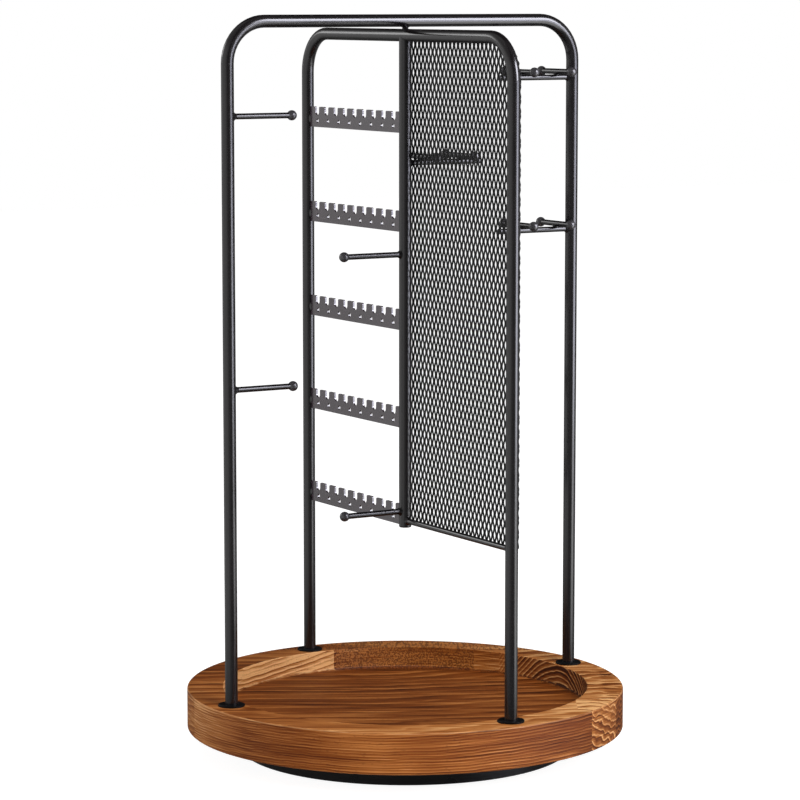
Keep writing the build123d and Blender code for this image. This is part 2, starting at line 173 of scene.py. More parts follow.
def powder_coat(name, light, dark, smooth, rough, shine):
    """Steel in black powder coat: the baked coat has a faint orange peel some millimetres across,
    slow changes in gloss, fine lighter specks of dust, and less shine at a low angle."""
    material, tree, place = new_material(name)
    cloud = wire(tree, "ShaderNodeTexNoise", {"Vector": place, "Scale": 0.04, "Detail": 3})
    peel = wire(tree, "ShaderNodeTexNoise", {"Vector": place, "Scale": 0.3, "Detail": 0})
    speck = wire(tree, "ShaderNodeTexNoise", {"Vector": place, "Scale": 2.2, "Detail": 2})
    tone = wire(tree, "ShaderNodeValToRGB", {0: cloud}, stops=two_tones(0.3, dark, 0.7, light))
    dust = wire(tree, "ShaderNodeMapRange", {0: speck, 1: 0.66, 2: 0.76, 3: 0.0, 4: 0.15})
    colour = wire(tree, "ShaderNodeMix", {0: dust, 6: tone, 7: linear("#29272B")}, 2, data_type="RGBA")
    gloss = wire(tree, "ShaderNodeMapRange", {0: cloud, 1: 0.3, 2: 0.7, 3: smooth, 4: rough})
    low_angle = wire(tree, "ShaderNodeLayerWeight", {"Blend": 0.5}, "Facing")
    scatter = wire(tree, "ShaderNodeMapRange", {0: low_angle, 1: 0.55, 2: 1.0, 3: 0.0, 4: 0.35})
    gloss = wire(tree, "ShaderNodeMath", {0: gloss, 1: scatter}, operation="ADD")
    bump = wire(tree, "ShaderNodeBump", {"Height": peel, "Strength": 1.0, "Distance": 0.002 * MM})
    finish_material(tree, {"Base Color": colour, "Roughness": gloss, "IOR": 1.52,
                           "Specular IOR Level": shine, "Normal": bump})
    return material


def find_faces(tree, at):
    """The faces of the tray: 1 on the recess's wall, its floor, the top or the outside, and 0
    elsewhere. Small margins allow for the rounded corners."""
    at.radius = from_axis(tree, at.place)
    inner = wire(tree, "ShaderNodeMath", {0: at.radius, 1: RECESS_RADIUS + 0.2}, operation="LESS_THAN")
    wall = wire(tree, "ShaderNodeMapRange", {0: at.radius, 1: RECESS_RADIUS - 1.2,
                                             2: RECESS_RADIUS - 0.4, 3: 0.0, 4: 1.0})
    at.wall = wire(tree, "ShaderNodeMath", {0: wall, 1: inner}, operation="MULTIPLY")
    low = wire(tree, "ShaderNodeMath", {0: at.up, 1: 0.0}, operation="LESS_THAN")
    at.floor = wire(tree, "ShaderNodeMath", {0: low, 1: inner}, operation="MULTIPLY")
    at.top = wire(tree, "ShaderNodeMath", {0: at.up, 1: TOP_ABOVE_MIDDLE - 0.15},
                  operation="GREATER_THAN")
    at.level = wire(tree, "ShaderNodeMath", {0: at.floor, 1: at.top}, operation="ADD")
    at.outside = wire(tree, "ShaderNodeMath", {0: at.radius, 1: TRAY_RADIUS - 0.4},
                      operation="GREATER_THAN")


def share_across(place):
    """A place across the grain as a share of the tray's width, from the front."""
    return (place + TRAY_RADIUS) / (2 * TRAY_RADIUS)


def for_each_board(tree, board, *values):
    """Three values for each board: the front one, the narrow one, the middle one and the back one."""
    starts = (0, share_across(NARROW_JOINT), share_across(FRONT_JOINT), share_across(BACK_JOINT))
    stops = [(start_share, (*three, 1)) for start_share, three in zip(starts, values)]
    chosen = wire(tree, "ShaderNodeValToRGB", {0: board}, stops=stops)
    chosen.node.color_ramp.interpolation = "CONSTANT"
    return chosen


def lay_boards(tree, at):
    """The boards, each with the lie of its growth rings and its own habits. The front board reaches
    to the front joint, and at the right end to the narrow joint, with the narrow board behind it."""
    left = wire(tree, "ShaderNodeMath", {0: at.along, 1: END_JOINT}, operation="LESS_THAN")
    near = wire(tree, "ShaderNodeMath", {0: at.across, 1: FRONT_JOINT}, operation="LESS_THAN")
    front = wire(tree, "ShaderNodeMath", {0: left, 1: near}, operation="MULTIPLY")
    # All that counts as further forward than the narrow board is the front board
    board = wire(tree, "ShaderNodeMath", {0: front, 1: -60.0, 2: at.across}, operation="MULTIPLY_ADD")
    board = wire(tree, "ShaderNodeMapRange", {0: board, 1: -TRAY_RADIUS, 2: TRAY_RADIUS, 3: 0, 4: 1})
    at.not_front = wire(tree, "ShaderNodeMath", {0: board, 1: share_across(NARROW_JOINT)},
                        operation="GREATER_THAN")
    # How the ring planes climb along, across and up, halved and centred as a colour asks
    lean = for_each_board(tree, board, (0.502, 0.5225, 0.90), (0.515, 0.56, 0.66),
                          (0.4985, 0.526, 0.69), (0.51, 0.66, 0.62))
    at.planes = wire(tree, "ShaderNodeVectorMath", {0: lean, 1: (2, 2, 2), 2: (-1, -1, -1)},
                     operation="MULTIPLY_ADD")
    # Waviness, tone and share of end grain
    habits = for_each_board(tree, board, (0.06, 0.49, 0.0), (0.46, 0.22, 0.2), (0.05, 0.48, 0.1),
                            (0.30, 0.58, 1.0))
    waviness, at.tone, at.end_grain = wire(tree, "ShaderNodeSeparateColor", {0: habits}).node.outputs
    right_end = wire(tree, "ShaderNodeMapRange", {0: at.along, 1: 94.0, 2: 106.0, 3: 0.0, 4: 0.40})
    at.waviness = wire(tree, "ShaderNodeMath", {0: waviness, 1: right_end}, operation="MAXIMUM")


def tray_places(tree, place):
    """What the wood's patterns ask of each place in the tray: how far it lies along, across and
    above the tray's middle, and on which face and in which board."""
    grain = wire(tree, "ShaderNodeMapping", {"Vector": place, "Location": (0, 0, -TRAY_MIDDLE),
                                             "Rotation": (0, 0, PHOTO_TURN)})
    at = SimpleNamespace(place=place, grain=grain)
    at.along, at.across, at.up = wire(tree, "ShaderNodeSeparateXYZ", {0: grain}).node.outputs
    at.far_right = wire(tree, "ShaderNodeMapRange", {0: at.along, 1: 52, 2: 88, 3: 0.0, 4: 1.0})
    find_faces(tree, at)
    lay_boards(tree, at)
    return at


def growth_year(tree, at):
    """The year in which the wood at each place grew, counted across the ring planes."""
    # The planes undulate gently, rise a little towards the right, and swirl in small waves
    slow = wire(tree, "ShaderNodeVectorMath", {0: at.grain, 1: (0.007, 0.022, 0.022)},
                operation="MULTIPLY")
    wander = wire(tree, "ShaderNodeTexNoise", {"Vector": slow, "Scale": 1.0, "Detail": 2}, "Color")
    wander = wire(tree, "ShaderNodeVectorMath", {0: wander, 1: (10, 10, 4.5), 2: (-5, -5, -2.2)},
                  operation="MULTIPLY_ADD")
    rise = wire(tree, "ShaderNodeMapRange", {0: at.along, 1: -10, 2: 110, 3: 0.0, 4: -7.0})
    rise = wire(tree, "ShaderNodeCombineXYZ", {2: rise})
    quick = wire(tree, "ShaderNodeVectorMath", {0: at.grain, 1: (0.06, 0.13, 0.10)},
                 operation="MULTIPLY")
    swirl = wire(tree, "ShaderNodeTexNoise", {"Vector": quick, "Scale": 1.0, "Detail": 1}, "Color")
    swirl = wire(tree, "ShaderNodeVectorMath", {0: swirl, 1: (-0.5, -0.5, -0.5)}, operation="ADD")
    reach = wire(tree, "ShaderNodeMath", {0: at.waviness, 1: 22.0}, operation="MULTIPLY")
    swirl = wire(tree, "ShaderNodeVectorMath", {0: swirl, "Scale": reach}, operation="SCALE")
    moved = at.grain
    for shift in (wander, rise, swirl):
        moved = wire(tree, "ShaderNodeVectorMath", {0: moved, 1: shift}, operation="ADD")
    year = wire(tree, "ShaderNodeVectorMath", {0: moved, 1: at.planes}, "Value",
                operation="DOT_PRODUCT")
    # The rings widen towards the right
    narrower = wire(tree, "ShaderNodeMapRange", {0: at.along, 1: -40, 2: 90, 3: 0.98, 4: 0.80})
    year = wire(tree, "ShaderNodeMath", {0: year, 1: narrower}, operation="MULTIPLY")
    # On the recess's wall they climb at the left and stand steep at the right
    climb = wire(tree, "ShaderNodeMapRange", {0: at.along, 1: -85, 2: -34, 3: 0.0, 4: -5.4})
    steep = wire(tree, "ShaderNodeMath", {0: at.far_right, 1: at.across}, operation="MULTIPLY")
    climb = wire(tree, "ShaderNodeMath", {0: steep, 1: -0.24, 2: climb}, operation="MULTIPLY_ADD")
    year = wire(tree, "ShaderNodeMath", {0: at.wall, 1: climb, 2: year}, operation="MULTIPLY_ADD")
    # They lie closer together on the level faces
    closer = wire(tree, "ShaderNodeMath", {0: at.level, 1: at.across}, operation="MULTIPLY")
    return wire(tree, "ShaderNodeMath", {0: closer, 1: 0.045, 2: year}, operation="MULTIPLY_ADD")


def ring_lines(tree, year):
    """How dark the wood is within each year's ring: pale early wood that darkens to late wood, and
    some years bolder than others."""
    season = wire(tree, "ShaderNodeMath", {0: year}, operation="FRACT")
    late = wire(tree, "ShaderNodeValToRGB", {0: season}, stops=greys(
        (0, 0.62), (0.10, 0.06), (0.22, 0.0), (0.36, 0.42), (0.70, 0.66), (0.90, 1), (1, 0.62)))
    whole = wire(tree, "ShaderNodeMath", {0: year}, operation="FLOOR")
    strength = wire(tree, "ShaderNodeTexWhiteNoise", {"W": whole}, noise_dimensions="1D")
    bold = wire(tree, "ShaderNodeMapRange", {0: strength, 3: 0.50, 4: 1.10})
    return wire(tree, "ShaderNodeMath", {0: late, 1: bold}, operation="MULTIPLY")


def ring_weight(tree, at):
    """How much the rings show at each place: more towards the right, on both ends of the recess's
    wall, where they swirl and on the top's two sides, and less in end grain."""
    front = wire(tree, "ShaderNodeMapRange", {0: at.along, 1: -30, 2: 50, 3: 0.29, 4: 0.43})
    others = wire(tree, "ShaderNodeMapRange", {0: at.along, 1: 40, 2: 90, 3: 0.36, 4: 0.50})
    weight = wire(tree, "ShaderNodeMix", {0: at.not_front, 2: front, 3: others}, 0, data_type="FLOAT")
    far_left = wire(tree, "ShaderNodeMapRange", {0: at.along, 1: -15, 2: -40, 3: 0.0, 4: 0.4})
    ends = wire(tree, "ShaderNodeMath", {0: far_left, 1: at.far_right}, operation="ADD")
    striped = wire(tree, "ShaderNodeMath", {0: at.wall, 1: ends}, operation="MULTIPLY")
    swirled = wire(tree, "ShaderNodeMapRange", {0: at.waviness, 1: 0.32, 2: 0.44, 3: 0.0, 4: 0.28})
    for more in (striped, swirled):
        weight = wire(tree, "ShaderNodeMath", {0: more, 1: weight}, operation="ADD")
    sideways = wire(tree, "ShaderNodeMath", {0: at.along}, operation="ABSOLUTE")
    outer_part = wire(tree, "ShaderNodeMapRange", {0: sideways, 1: 30, 2: 80, 3: 0.7, 4: 1.3})
    on_top = wire(tree, "ShaderNodeMix", {0: at.top, 2: 1.0, 3: outer_part}, 0, data_type="FLOAT")
    lengthways = wire(tree, "ShaderNodeMapRange", {0: at.end_grain, 1: 0.2, 2: 1.0, 3: 1.0, 4: 0.2})
    share = wire(tree, "ShaderNodeMath", {0: lengthways, 1: on_top}, operation="MULTIPLY")
    return wire(tree, "ShaderNodeMath", {0: weight, 1: share}, operation="MULTIPLY")


def fibres_and_streaks(tree, at):
    """The fibres, and the streaks in which they took the stain. Fibres are really 0.05 mm thick.
    They are drawn half a millimetre thick on the side, and in streaks of some millimetres on the
    level faces, to show at all."""
    deep = wire(tree, "ShaderNodeMapRange", {0: at.level, 3: 0.10, 4: 1.0})
    deep = wire(tree, "ShaderNodeCombineXYZ", {0: 1.0, 1: deep, 2: 1.0})
    drawn = wire(tree, "ShaderNodeVectorMath", {0: at.grain, 1: deep}, operation="MULTIPLY")
    fine = wire(tree, "ShaderNodeVectorMath", {0: drawn, 1: (0.014, 0.42, 1.7)}, operation="MULTIPLY")
    fibre = wire(tree, "ShaderNodeTexNoise", {"Vector": fine, "Scale": 1.0, "Detail": 4})
    wide = wire(tree, "ShaderNodeVectorMath", {0: drawn, 1: (0.012, 0.07, 0.03)}, operation="MULTIPLY")
    streaks = wire(tree, "ShaderNodeTexNoise", {"Vector": wide, "Scale": 1.0, "Detail": 3})
    return fibre, streaks


def painted_light_and_shade(tree, at):
    """How much darker than usual each place is painted, or paler where it is below zero: painted light
    and shade on the tray's faces.
    """
    # Painted light makes the recess's wall paler at the left, and the wall is a little paler at the
    # right; painted shade makes its floor darker
    wall = wire(tree, "ShaderNodeMapRange", {0: at.along, 1: -45, 2: 40, 3: -0.55, 4: 0.0})
    back = wire(tree, "ShaderNodeMath", {0: at.across, 1: BACK_JOINT}, operation="GREATER_THAN")
    wall = wire(tree, "ShaderNodeMix", {0: back, 2: wall, 3: 0.0}, 0, data_type="FLOAT")
    wall = wire(tree, "ShaderNodeMath", {0: at.far_right, 1: -0.16, 2: wall}, operation="MULTIPLY_ADD")
    extra = wire(tree, "ShaderNodeMath", {0: at.wall, 1: wall}, operation="MULTIPLY")
    extra = wire(tree, "ShaderNodeMath", {0: at.floor, 1: 0.20, 2: extra}, operation="MULTIPLY_ADD")
    # Painted light makes the top paler towards the right, and painted shade makes it darker at the left
    paler = wire(tree, "ShaderNodeMapRange", {0: at.along, 1: 20, 2: 80, 3: 0.0, 4: -0.22})
    darker = wire(tree, "ShaderNodeMapRange", {0: at.along, 1: -40, 2: -80, 3: 0.0, 4: 0.08})
    top = wire(tree, "ShaderNodeMath", {0: paler, 1: darker}, operation="ADD")
    extra = wire(tree, "ShaderNodeMath", {0: at.top, 1: top, 2: extra}, operation="MULTIPLY_ADD")
    # The front board's side is painted palest at its left end and darkest beside it: painted light and
    # shade. The levels are raised by 0.08, because a colour can't be below zero
    side = wire(tree, "ShaderNodeMapRange", {0: at.along, 1: -TRAY_RADIUS, 2: TRAY_RADIUS, 3: 0, 4: 1})
    side = wire(tree, "ShaderNodeValToRGB", {0: side}, stops=greys(
        (0.04, 0.0), (0.15, 0.33), (0.50, 0.13), (0.85, 0.21)))
    side = wire(tree, "ShaderNodeMath", {0: side, 1: 0.08}, operation="SUBTRACT")
    side = wire(tree, "ShaderNodeMath", {0: side, 1: at.outside}, operation="MULTIPLY")
    side = wire(tree, "ShaderNodeMix", {0: at.not_front, 2: side, 3: 0.0}, 0, data_type="FLOAT")
    return wire(tree, "ShaderNodeMath", {0: extra, 1: side}, operation="ADD")


def cut_pores(tree, at):
    """Pores, cut lengthways into dashes, and across into dots where a board shows its end grain."""
    dash = wire(tree, "ShaderNodeVectorMath", {0: at.grain, 1: (0.22, 1.5, 1.5)}, operation="MULTIPLY")
    dot = wire(tree, "ShaderNodeVectorMath", {0: at.grain, 1: (1.1, 0.2, 1.1)}, operation="MULTIPLY")
    cut = wire(tree, "ShaderNodeMix", {0: at.end_grain, 4: dash, 5: dot}, 1, data_type="VECTOR")
    noise = wire(tree, "ShaderNodeTexNoise", {"Vector": cut, "Scale": 1.0, "Detail": 1})
    rare = wire(tree, "ShaderNodeMapRange", {0: at.end_grain, 3: 0.63, 4: 0.47})
    pores = wire(tree, "ShaderNodeMath", {0: noise, 1: rare}, operation="SUBTRACT")
    clear = wire(tree, "ShaderNodeMapRange", {0: at.end_grain, 3: 0.30, 4: 0.62})
    return wire(tree, "ShaderNodeMapRange", {0: pores, 1: 0.0, 2: 0.08, 3: 0.0, 4: clear})


def edge_wear_and_painted_highlight(tree, at):
    """Where the upper outer edge is lighter, in patches: partly a painted highlight on the rounded
    edge, partly rubbed wear.
    """
    outer = wire(tree, "ShaderNodeMapRange", {0: at.radius, 1: TRAY_RADIUS - 0.7, 2: TRAY_RADIUS - 0.2,
                                              3: 0.0, 4: 1.0})
    upper = wire(tree, "ShaderNodeMapRange", {0: at.up, 1: TOP_ABOVE_MIDDLE - 0.8,
                                              2: TOP_ABOVE_MIDDLE - 0.4, 3: 0.0, 4: 1.0})
    patchy = wire(tree, "ShaderNodeTexNoise", {"Vector": at.place, "Scale": 0.06, "Detail": 3})
    patchy = wire(tree, "ShaderNodeMapRange", {0: patchy, 1: 0.35, 2: 0.62, 3: 0.15, 4: 0.60})
    edge = wire(tree, "ShaderNodeMath", {0: outer, 1: upper}, operation="MULTIPLY")
    return wire(tree, "ShaderNodeMath", {0: edge, 1: patchy}, operation="MULTIPLY")


def stained_wood():
    """Softwood boards glued side by side, turned on a lathe, stained brown and lacquered matt. The
    growth rings are nearly level planes, so they draw fine level lines round the side and wide soft
    bands on the top, and they swirl where the grain runs out."""
    material, tree, place = new_material("stained_lacquered_wood")
    at = tray_places(tree, place)
    rings = ring_lines(tree, growth_year(tree, at))
    fibre, streaks = fibres_and_streaks(tree, at)
    dark = at.tone
    for layer, weight in ((rings, ring_weight(tree, at)), (fibre, 0.90), (streaks, 0.75)):
        dark = wire(tree, "ShaderNodeMath", {0: layer, 1: weight, 2: dark}, operation="MULTIPLY_ADD")
    # Painted light and shade on the tray's faces is added to the wood's darkness
    dark = wire(tree, "ShaderNodeMath", {0: dark, 1: painted_light_and_shade(tree, at)}, operation="ADD")
    depth = wire(tree, "ShaderNodeMapRange", {0: dark, 1: 1.03, 2: 1.93, 3: 0.0, 4: 1.0})
    colour = wire(tree, "ShaderNodeValToRGB", {0: depth}, stops=[
        (0, linear("#DFAA70")), (0.33, linear("#A86831")), (0.66, linear("#73390D")),
        (1, linear("#3A1602"))])
    pores = cut_pores(tree, at)
    # Painted shade darkens the recess's lower corner, and the corner is made rougher
    corner = wire(tree, "ShaderNodeMapRange", {0: at.up, 1: -1.0, 2: 0.2, 3: 0.75, 4: 0.0})
    painted_corner_shade = wire(tree, "ShaderNodeMath", {0: at.wall, 1: corner}, operation="MULTIPLY")
    # Pores, the painted edge highlight with its wear, and the painted corner shade are laid over the
    # colour
    for share, over in ((pores, "#3B1A08"), (edge_wear_and_painted_highlight(tree, at), "#D2A06C"), (painted_corner_shade, "#331A0A")):
        colour = wire(tree, "ShaderNodeMix", {0: share, 6: colour, 7: linear(over)}, 2,
                      data_type="RGBA")
    gloss = wire(tree, "ShaderNodeMapRange", {0: depth, 3: 0.50, 4: 0.60})
    gloss = wire(tree, "ShaderNodeMath", {0: painted_corner_shade, 1: 0.3, 2: gloss}, operation="MULTIPLY_ADD")
    height = wire(tree, "ShaderNodeMath", {0: pores, 1: -1.0, 2: fibre}, operation="MULTIPLY_ADD")
    bump = wire(tree, "ShaderNodeBump", {"Height": height, "Strength": 0.5, "Distance": 0.2 * MM})
    finish_material(tree, {"Base Color": colour, "Roughness": gloss, "IOR": 1.45,
                           "Specular IOR Level": 0.16, "Normal": bump})
    return material


def moulded(name, light, dark, rough, grit, depth, ior=1.5):
    """A moulded part: an even colour with faint flow clouds and the fine spark-eroded grain that the
    mould leaves, drawn at about the given number of grains per millimetre."""
    material, tree, place = new_material(name)
    cloud = wire(tree, "ShaderNodeTexNoise", {"Vector": place, "Scale": 0.05, "Detail": 3})
    grain = wire(tree, "ShaderNodeTexVoronoi", {"Vector": place, "Scale": grit})
    colour = wire(tree, "ShaderNodeValToRGB", {0: cloud}, stops=two_tones(0.35, dark, 0.65, light))
    gloss = wire(tree, "ShaderNodeMapRange", {0: cloud, 1: 0.3, 2: 0.7, 3: rough - 0.04,
                                              4: rough + 0.04})
    bump = wire(tree, "ShaderNodeBump", {"Height": grain, "Strength": 0.6, "Distance": depth})
    finish_material(tree, {"Base Color": colour, "Roughness": gloss, "IOR": ior, "Normal": bump})
    return material


def turned_metal(name, light, dark, smooth, rough, lines):
    """Metal turned on a lathe or plated: fine tool lines round the axis, a little uneven in tone."""
    material, tree, place = new_material(name)
    line = wire(tree, "ShaderNodeTexNoise", {"W": from_axis(tree, place), "Scale": lines, "Detail": 2},
                noise_dimensions="1D")
    cloud = wire(tree, "ShaderNodeTexNoise", {"Vector": place, "Scale": 0.3, "Detail": 3})
    colour = wire(tree, "ShaderNodeValToRGB", {0: cloud}, stops=two_tones(0.3, dark, 0.7, light))
    gloss = wire(tree, "ShaderNodeMapRange", {0: line, 1: 0.3, 2: 0.7, 3: smooth, 4: rough})
    bump = wire(tree, "ShaderNodeBump", {"Height": line, "Strength": 0.4, "Distance": 0.02 * MM})
    finish_material(tree, {"Base Color": colour, "Metallic": 1.0, "Roughness": gloss, "Normal": bump})
    return material


def paint(piece, material):
    """Gives a piece one material."""
    piece.data.materials.clear()
    piece.data.materials.append(material)


def start(piece_name):
    """Names the primitive or copy that was just added."""
    piece = bpy.context.object
    piece.name = piece_name
    return piece


def alone(piece):
    """Selects this piece and nothing else."""
    bpy.ops.object.select_all(action="DESELECT")
    piece.select_set(True)
    bpy.context.view_layer.objects.active = piece


def edit(piece):
    """Opens a piece in edit mode with all of it selected."""
    alone(piece)
    bpy.ops.object.mode_set(mode="EDIT")
    bpy.ops.mesh.select_all(action="SELECT")


def pick(piece, wanted, kind="verts"):
    """In edit mode, selects the corners or faces whose middle passes the test."""
    bpy.ops.mesh.select_mode(type={"verts": "VERT", "faces": "FACE"}[kind])
    bpy.ops.mesh.select_all(action="DESELECT")
    mesh = bmesh.from_edit_mesh(piece.data)
    for part in getattr(mesh, kind):
        corners = [part] if kind == "verts" else part.verts
        middle = sum((corner.co for corner in corners), Vector()) / len(corners)
        part.select = wanted(middle)
    mesh.select_flush_mode()
    bmesh.update_edit_mesh(piece.data)


def place_in_mesh():
    """Moves the selected pieces' place and turn into their meshes."""
    bpy.ops.object.transform_apply(location=True, rotation=True, scale=True)


def apply_modifier(piece, kind, **settings):
    """Adds a modifier, sets it and applies it."""
    alone(piece)
    modifier = piece.modifiers.new(kind.title(), kind)
    for name, value in settings.items():
        setattr(modifier, name, value)
    bpy.ops.object.modifier_apply(modifier=modifier.name)


def hand_over(piece, material, slot, *stands_for):
    """Moves the place into the mesh, gives the finish, and lets the piece turn with the tray."""
    alone(piece)
    place_in_mesh()
    paint(piece, material)
    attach(piece, "carousel")
    if stands_for:
        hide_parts(*stands_for)


def middle_height(name):
    """The height of a node's middle."""
    low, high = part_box(name)
    return (low.z + high.z) / 2


def one_diamond():
    """The frame of strands round one diamond, with rounded sides and leaning strands."""
    bpy.ops.object.select_all(action="DESELECT")
    bpy.ops.mesh.primitive_circle_add(vertices=4, radius=1, fill_type="NGON")
    sheet = start("expanded_metal")
    edit(sheet)
    bpy.ops.transform.resize(value=(DIAMOND_HALF_ACROSS, DIAMOND_HALF_UP, 1))
    bpy.ops.mesh.inset(thickness=STRAND_WIDTH / 2)
    near = 0.1 * MM
    pick(sheet, lambda at: 0.6 < abs(at.x) / DIAMOND_HALF_ACROSS < 0.98 and abs(at.y) < near)
    bpy.ops.mesh.bevel(offset=DIAMOND_ROUNDING, segments=2, affect="VERTICES")
    pick(sheet, lambda at: at.length < near, "faces")
    bpy.ops.mesh.delete(type="FACE")
    # The inner corners on both sides lean out of the sheet, one side each way
    outline = 1 - STRAND_WIDTH * 0.25 / DIAMOND_HALF_UP
    off_middle = 0.2 * MM

    def inside(at):
        return abs(at.x) / DIAMOND_HALF_ACROSS + abs(at.y) / DIAMOND_HALF_UP < outline

    for side in (-1, 1):
        pick(sheet, lambda at: inside(at) and at.x * side > off_middle)
        bpy.ops.transform.translate(value=(0, 0, -side * STRAND_LEAN))
    bpy.ops.object.mode_set(mode="OBJECT")
    return sheet


def repeat_diamond(sheet, width, height):
    """Repeats the diamond over the panel, in two staggered sets that are joined."""
    pitch_across, pitch_up = 2 * DIAMOND_HALF_ACROSS, 2 * DIAMOND_HALF_UP
    for size, step in ((width, (pitch_across, 0, 0)), (height, (0, pitch_up, 0))):
        apply_modifier(sheet, "ARRAY", count=math.ceil(size / max(step)) + 1, use_relative_offset=False,
                       use_constant_offset=True, constant_offset_displace=step,
                       use_merge_vertices=True, merge_threshold=0.02 * MM)
    alone(sheet)
    bpy.ops.object.duplicate()
    bpy.context.object.location = (-DIAMOND_HALF_ACROSS, -DIAMOND_HALF_UP, 0)
    place_in_mesh()
    sheet.select_set(True)
    bpy.context.view_layer.objects.active = sheet
    bpy.ops.object.join()
    edit(sheet)
    bpy.ops.mesh.remove_doubles(threshold=0.03 * MM)


def trim_sheet(sheet, width, height, rod_height):
    """Trims the sheet to its outline, straight on four sides and round at the upper outer corner,
    and opens it where the second hanger's rod comes through beside the post."""
    cuts = [((0, 0, 0), (-1, 0, 0)), ((width - SHEET_FROM_LEG, 0, 0), (1, 0, 0)),
            ((0, 0, 0), (0, -1, 0)), ((0, height, 0), (0, 1, 0))]
    middle = Vector((width - CORNER_RADIUS, height - CORNER_RADIUS, 0))
    for cut in range(CORNER_CUTS):
        turn = math.radians(90) * (cut + 0.5) / CORNER_CUTS
        outwards = Vector((math.cos(turn), math.sin(turn), 0))
        cuts.append((middle + outwards * CORNER_RADIUS, outwards))
    for point, outwards in cuts:
        bpy.ops.mesh.select_all(action="SELECT")
        bpy.ops.mesh.bisect(plane_co=point, plane_no=outwards, clear_outer=True)
    pick(sheet, lambda at: math.hypot(at.x, at.y - rod_height) < ROD_HOLE_RADIUS, "faces")
    bpy.ops.mesh.delete(type="FACE")
    bpy.ops.object.mode_set(mode="OBJECT")


def expanded_metal(material):
    """The panel of expanded metal, drawn lying down and stood up against the tubes, with its drawn
    width towards the leg."""
    low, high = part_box("mesh_panel")
    width, height = high.y - low.y, high.z - low.z
    sheet = one_diamond()
    repeat_diamond(sheet, width, height)
    trim_sheet(sheet, width, height, middle_height("hanger_rod_2") - low.z)
    apply_modifier(sheet, "SOLIDIFY", thickness=SHEET_THICKNESS, offset=0)
    sheet.matrix_world = Matrix(((0, 0, 1, (low.x + high.x) / 2), (-1, 0, 0, high.y), (0, 1, 0, low.z),
                                 (0, 0, 0, 1)))
    hand_over(sheet, material, "black_coat", "mesh_panel")
    edit(sheet)
    bpy.ops.mesh.normals_make_consistent(inside=False)
    bpy.ops.object.mode_set(mode="OBJECT")


def pressed_strip(number, material):
    """An earring strip with the small rounding that its coat gives the punched edges."""
    node = nodes[f"earring_strip_{number}"]
    alone(node)
    bpy.ops.object.duplicate()
    strip = start(f"coated_strip_{number}")
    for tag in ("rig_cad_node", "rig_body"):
        del strip[tag]
    strip.parent = None
    edit(strip)
    bpy.ops.mesh.remove_doubles(threshold=0.001 * MM)
    bpy.ops.mesh.dissolve_limited(angle_limit=math.radians(1))
    bpy.ops.object.mode_set(mode="OBJECT")
    apply_modifier(strip, "BEVEL", width=STRIP_ROUNDING, segments=2, limit_method="ANGLE",
                   angle_limit=SHARP_EDGE)
    bpy.ops.object.shade_smooth_by_angle(angle=math.radians(20))
    hand_over(strip, material, "black_coat", node.name)


def round_collar(collar):
    """Rounds a collar's edges as its coat does."""
    rounding = collar.modifiers.new("coated_edge", "BEVEL")
    rounding.width, rounding.segments = COLLAR_ROUNDING, 3
    rounding.limit_method, rounding.angle_limit = "ANGLE", SHARP_EDGE


# Weld beads, each given by the heights and radii of its rings from the rod to the tube
BEAD_ROUGHNESS = 0.04 * MM
bead_numbers = itertools.count(1)


def bead_rings(*rings):
    """A bead's rings, given in millimetres."""
    return [(height * MM, radius * MM) for height, radius in rings]


ROD_BEAD = bead_rings((1.5, 1.45), (1.1, 1.56), (0.7, 1.72), (0.35, 2.0), (0.1, 2.4), (-0.25, 2.75))
CROSSING_BEAD = bead_rings((0.62, 1.3), (0.4, 1.4), (0.15, 1.7), (-0.15, 2.1), (-0.6, 2.5))
HOOK_BEAD = bead_rings((0.95, 0.5), (0.6, 1.15), (0.2, 1.6), (-0.2, 1.6), (-0.6, 1.15), (-0.95, 0.5))
STRIP_BEAD = bead_rings((1.2, 0.75), (0.8, 0.85), (0.4, 1.05), (0.1, 1.4), (-0.25, 1.8))


def weld_bead(place, outwards, against, rings, material, swell=(1.0, 1.0), stands_for=()):
    """A bead round the root of a rod or strip: rings that flare from the rod to the tube, the last
    ones drawn onto the tube. swell gives its share across and upwards."""
    number = next(bead_numbers)
    top_height, top_radius = rings[0]
    bpy.ops.object.select_all(action="DESELECT")
    bpy.ops.mesh.primitive_circle_add(vertices=20, radius=top_radius, fill_type="NGON")
    bead = start(f"weld_bead_{number}")
    edit(bead)
    bpy.ops.transform.translate(value=(0, 0, top_height))
    for (height, radius), (next_height, next_radius) in zip(rings, rings[1:]):
        bpy.ops.mesh.extrude_region_move(TRANSFORM_OT_translate={"value": (0, 0, next_height - height)})
        share = next_radius / radius
        bpy.ops.transform.resize(value=(share, share, 1))
    bpy.ops.mesh.select_all(action="SELECT")
    bpy.ops.transform.resize(value=(*swell, 1), center_override=(0, 0, 0))
    bpy.ops.mesh.normals_make_consistent(inside=False)
    bpy.ops.transform.vertex_random(offset=BEAD_ROUGHNESS, seed=number)
    bpy.ops.object.mode_set(mode="OBJECT")
    root, reach = Vector(place), Vector(outwards)
    bead.matrix_world = Matrix.Translation(root) @ reach.to_track_quat("Z", "Y").to_matrix().to_4x4()
    alone(bead)
    place_in_mesh()
    if against:
        foot = bead.vertex_groups.new(name="foot")
        foot_height = rings[-2][0] + 0.06 * MM
        low_corners = [v.index for v in bead.data.vertices if (v.co - root).dot(reach) < foot_height]
        foot.add(low_corners, 1.0, "REPLACE")
        apply_modifier(bead, "SHRINKWRAP", target=nodes[against], wrap_method="NEAREST_SURFACEPOINT",
                       vertex_group="foot", offset=0)
    bpy.ops.object.shade_smooth_by_angle(angle=math.radians(60))
    hand_over(bead, material, "black_coat", *stands_for)


